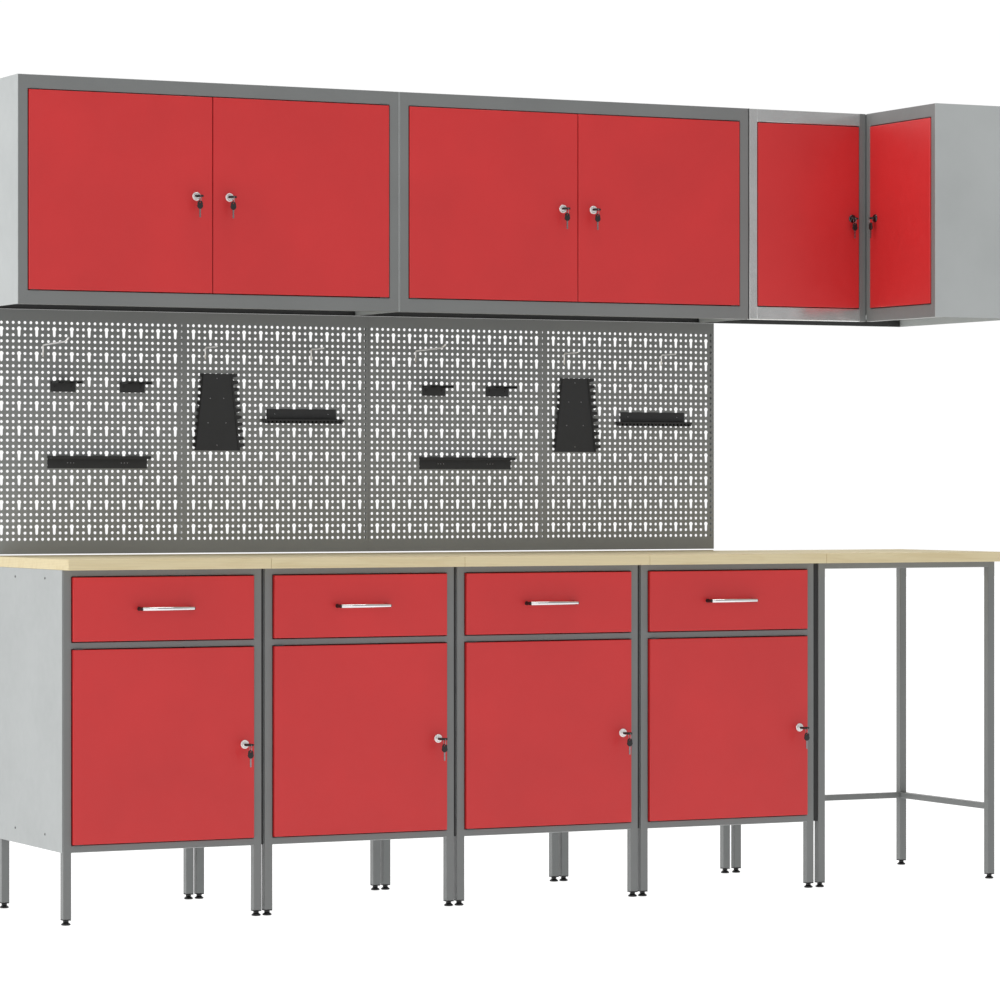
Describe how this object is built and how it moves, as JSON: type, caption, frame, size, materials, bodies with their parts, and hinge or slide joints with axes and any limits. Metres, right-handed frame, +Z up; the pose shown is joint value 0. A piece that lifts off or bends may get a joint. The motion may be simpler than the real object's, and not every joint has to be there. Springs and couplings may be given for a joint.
{
  "type": "workshop cabinet and worktop set",
  "caption": "Run of drawer-and-door base cabinets under wooden worktops, with an open corner stand, perforated tool panels and lockable wall cabinets that turn a corner.",
  "frame": {"origin": "on the floor, under the centre of the whole set", "axes": "+X along the row towards the corner stand, +Y towards the wall, +Z up"},
  "size_m": [2.597, 0.601, 1.989],
  "materials": {
    "frame_grey": "semi-gloss powder coat",
    "case_grey": "satin powder coat",
    "red_paint": "semi-gloss powder coat",
    "birch_plywood": "clear satin lacquer",
    "chrome": "polished",
    "zinc": "zinc plated",
    "black_plastic": "matt moulded"
  },
  "bodies": {
    "set": {"base_frames": "frame_grey", "base_side_sheets": "case_grey", "base_back_sheets": "case_grey", "base_floor_sheets": "case_grey", "base_shelves": "case_grey", "drawer_runners": "zinc", "side_rivets": "black_plastic", "stand_frame": "frame_grey", "worktops": "birch_plywood", "levelling_feet": "black_plastic", "wall_frame_1": "frame_grey", "wall_frame_2": "frame_grey", "corner_frame": "frame_grey", "wall_case_1": "case_grey", "wall_case_2": "case_grey", "corner_case": "case_grey", "wall_shelves": "case_grey", "pegboard_1": "frame_grey", "pegboard_2": "frame_grey", "hinge_plates": "zinc", "hook_holders": "black_plastic", "tool_bars": "black_plastic", "drill_racks": "black_plastic", "plier_racks": "black_plastic", "wire_hooks": "chrome"},
    "drawer_1": {"drawer_box_1": "case_grey", "drawer_front_1": "red_paint", "drawer_handle_1": "chrome"},
    "drawer_2": {"drawer_box_2": "case_grey", "drawer_front_2": "red_paint", "drawer_handle_2": "chrome"},
    "drawer_3": {"drawer_box_3": "case_grey", "drawer_front_3": "red_paint", "drawer_handle_3": "chrome"},
    "drawer_4": {"drawer_box_4": "case_grey", "drawer_front_4": "red_paint", "drawer_handle_4": "chrome"},
    "base_door_1": {"base_door_1": "red_paint"},
    "base_door_2": {"base_door_2": "red_paint"},
    "base_door_3": {"base_door_3": "red_paint"},
    "base_door_4": {"base_door_4": "red_paint"},
    "base_lock_1": {"base_lock_1": "chrome"},
    "base_lock_2": {"base_lock_2": "chrome"},
    "base_lock_3": {"base_lock_3": "chrome"},
    "base_lock_4": {"base_lock_4": "chrome"},
    "wall_door_1": {"wall_door_1": "red_paint"},
    "wall_door_2": {"wall_door_2": "red_paint"},
    "wall_door_3": {"wall_door_3": "red_paint"},
    "wall_door_4": {"wall_door_4": "red_paint"},
    "wall_lock_1": {"wall_lock_1": "chrome"},
    "wall_lock_2": {"wall_lock_2": "chrome"},
    "wall_lock_3": {"wall_lock_3": "chrome"},
    "wall_lock_4": {"wall_lock_4": "chrome"},
    "corner_door_1": {"corner_door_1": "red_paint"},
    "corner_door_2": {"corner_door_2": "red_paint"},
    "corner_lock_1": {"corner_lock_1": "chrome"},
    "corner_lock_2": {"corner_lock_2": "chrome"}
  },
  "joints": [
    {"name": "drawer_1_slide", "type": "slide", "parent": "set", "child": "drawer_1", "axis": [0, -1, 0], "range_m": [0, 0.33]},
    {"name": "drawer_2_slide", "type": "slide", "parent": "set", "child": "drawer_2", "axis": [0, -1, 0], "range_m": [0, 0.33]},
    {"name": "drawer_3_slide", "type": "slide", "parent": "set", "child": "drawer_3", "axis": [0, -1, 0], "range_m": [0, 0.33]},
    {"name": "drawer_4_slide", "type": "slide", "parent": "set", "child": "drawer_4", "axis": [0, -1, 0], "range_m": [0, 0.33]},
    {"name": "base_door_1_hinge", "type": "hinge", "parent": "set", "child": "base_door_1", "pos_m": [-1.2285, -0.1715, 0.412], "axis": [0, 0, -1], "range_deg": [0, 110]},
    {"name": "base_door_2_hinge", "type": "hinge", "parent": "set", "child": "base_door_2", "pos_m": [-0.7235, -0.1715, 0.412], "axis": [0, 0, -1], "range_deg": [0, 110]},
    {"name": "base_door_3_hinge", "type": "hinge", "parent": "set", "child": "base_door_3", "pos_m": [-0.2185, -0.1715, 0.412], "axis": [0, 0, -1], "range_deg": [0, 110]},
    {"name": "base_door_4_hinge", "type": "hinge", "parent": "set", "child": "base_door_4", "pos_m": [0.2865, -0.1715, 0.412], "axis": [0, 0, -1], "range_deg": [0, 110]},
    {"name": "base_lock_1_turn", "type": "hinge", "parent": "base_door_1", "child": "base_lock_1", "pos_m": [-0.8095, -0.1695, 0.408], "axis": [0, -1, 0], "range_deg": [0, 90]},
    {"name": "base_lock_2_turn", "type": "hinge", "parent": "base_door_2", "child": "base_lock_2", "pos_m": [-0.3045, -0.1695, 0.408], "axis": [0, -1, 0], "range_deg": [0, 90]},
    {"name": "base_lock_3_turn", "type": "hinge", "parent": "base_door_3", "child": "base_lock_3", "pos_m": [0.2005, -0.1695, 0.408], "axis": [0, -1, 0], "range_deg": [0, 90]},
    {"name": "base_lock_4_turn", "type": "hinge", "parent": "base_door_4", "child": "base_lock_4", "pos_m": [0.7055, -0.1695, 0.408], "axis": [0, -1, 0], "range_deg": [0, 90]},
    {"name": "wall_door_1_hinge", "type": "hinge", "parent": "set", "child": "wall_door_1", "pos_m": [-1.262, 0.0385, 1.718], "axis": [0, 0, -1], "range_deg": [0, 90]},
    {"name": "wall_door_2_hinge", "type": "hinge", "parent": "set", "child": "wall_door_2", "pos_m": [-0.347, 0.0385, 1.718], "axis": [0, 0, 1], "range_deg": [0, 90]},
    {"name": "wall_door_3_hinge", "type": "hinge", "parent": "set", "child": "wall_door_3", "pos_m": [-0.2725, 0.0385, 1.718], "axis": [0, 0, -1], "range_deg": [0, 90]},
    {"name": "wall_door_4_hinge", "type": "hinge", "parent": "set", "child": "wall_door_4", "pos_m": [0.6425, 0.0385, 1.718], "axis": [0, 0, 1], "range_deg": [0, 90]},
    {"name": "wall_lock_1_turn", "type": "hinge", "parent": "wall_door_1", "child": "wall_lock_1", "pos_m": [-0.8475, 0.0355, 1.714], "axis": [0, -1, 0], "range_deg": [0, 90]},
    {"name": "wall_lock_2_turn", "type": "hinge", "parent": "wall_door_2", "child": "wall_lock_2", "pos_m": [-0.7615, 0.0355, 1.714], "axis": [0, 1, 0], "range_deg": [0, 90]},
    {"name": "wall_lock_3_turn", "type": "hinge", "parent": "wall_door_3", "child": "wall_lock_3", "pos_m": [0.142, 0.0355, 1.714], "axis": [0, -1, 0], "range_deg": [0, 90]},
    {"name": "wall_lock_4_turn", "type": "hinge", "parent": "wall_door_4", "child": "wall_lock_4", "pos_m": [0.228, 0.0355, 1.714], "axis": [0, 1, 0], "range_deg": [0, 90]},
    {"name": "corner_door_1_hinge", "type": "hinge", "parent": "set", "child": "corner_door_1", "pos_m": [0.717, 0.0385, 1.718], "axis": [0, 0, -1], "range_deg": [0, 90]},
    {"name": "corner_door_2_hinge", "type": "hinge", "parent": "set", "child": "corner_door_2", "pos_m": [1.0345, -0.269, 1.718], "axis": [0, 0, 1], "range_deg": [0, 60]},
    {"name": "corner_lock_1_turn", "type": "hinge", "parent": "corner_door_1", "child": "corner_lock_1", "pos_m": [0.9885, 0.0355, 1.714], "axis": [0, -1, 0], "range_deg": [0, 90]},
    {"name": "corner_lock_2_turn", "type": "hinge", "parent": "corner_door_2", "child": "corner_lock_2", "pos_m": [1.0315, -0.0137, 1.714], "axis": [1, 0, 0], "range_deg": [0, 90]}
  ]
}
